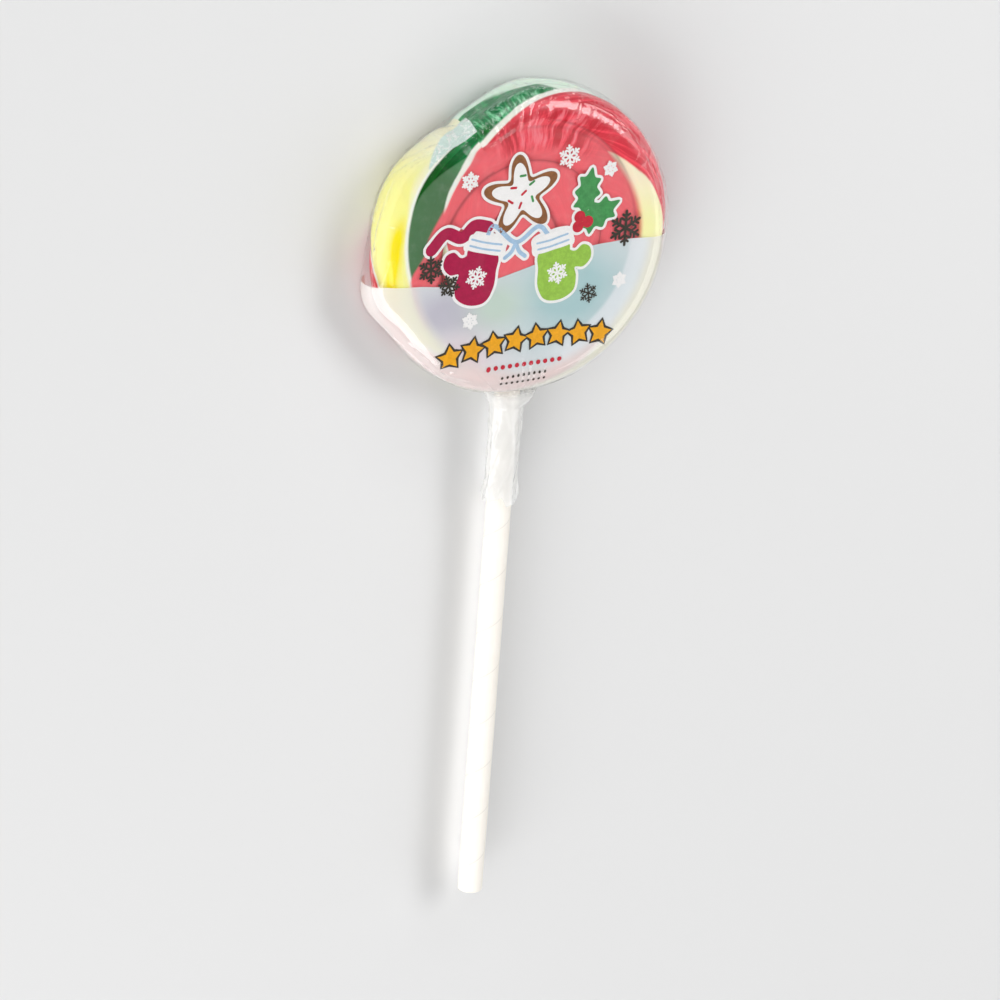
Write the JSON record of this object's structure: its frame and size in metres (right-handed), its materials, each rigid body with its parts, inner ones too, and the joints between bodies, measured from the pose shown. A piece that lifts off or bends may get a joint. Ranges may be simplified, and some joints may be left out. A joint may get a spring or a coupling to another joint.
{
  "type": "swirl lollipop",
  "caption": "Round flat swirl lollipop of hard candy on a rolled paper stick, wrapped in clear printed film that is gathered into a skirt below the head, lying on its back.",
  "frame": {"origin": "centre of the film's flat back, on the surface that the lollipop lies on, under the centre of the round head", "axes": "+Z out of the face of the head, +Y from the stick towards the top of the head, +X to the right of the face"},
  "size_m": [0.056, 0.1487, 0.0112],
  "materials": {
    "candy": "glossy hard candy, striped red, yellow, green and white",
    "stick": "smooth waxed paper",
    "film": "clear glossy film with a printed front"
  },
  "bodies": {
    "root": {"candy": "candy", "stick": "stick", "wrapper": "film"}
  },
  "joints": []
}
